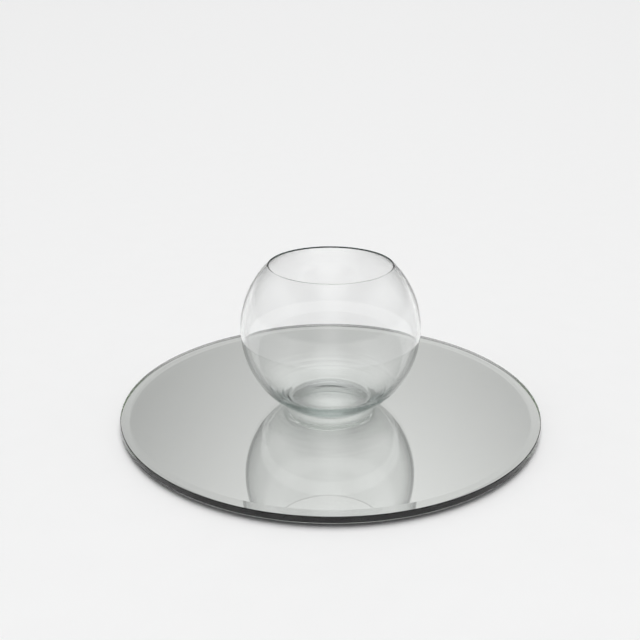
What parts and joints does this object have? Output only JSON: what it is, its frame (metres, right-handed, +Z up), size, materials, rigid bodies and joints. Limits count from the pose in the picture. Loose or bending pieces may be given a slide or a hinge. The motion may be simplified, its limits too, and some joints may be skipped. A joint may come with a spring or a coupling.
{
  "type": "candle plate",
  "caption": "Round bevelled mirror candle plate on low bumper feet, carrying a loose clear glass bubble bowl for a candle.",
  "frame": {"origin": "on the table under the centre of the round plate", "axes": "+Z up along the plate's and the bowl's common axis; +X and +Y lie in the table plane between the feet, and the picture is taken from -Y"},
  "size_m": [0.3, 0.3, 0.1125],
  "materials": {
    "float_glass": "polished",
    "silver": "mirror",
    "back_paint": "matt paint",
    "bumper_rubber": "satin moulded",
    "tape": "translucent adhesive",
    "clear_glass": "fire-polished"
  },
  "bodies": {
    "plate": {"mirror_glass": "float_glass", "silver_layer": "silver", "back_paint": "back_paint", "foot_1": "bumper_rubber", "foot_2": "bumper_rubber", "foot_3": "bumper_rubber", "foot_4": "bumper_rubber", "foot_tape_1": "tape", "foot_tape_2": "tape", "foot_tape_3": "tape", "foot_tape_4": "tape"},
    "bowl": {"bubble_bowl": "clear_glass"}
  },
  "joints": [
    {"name": "bowl_lift", "type": "slide", "parent": "plate", "child": "bowl", "axis": [0, 0, 1], "range_m": [0, 0.15]}
  ]
}
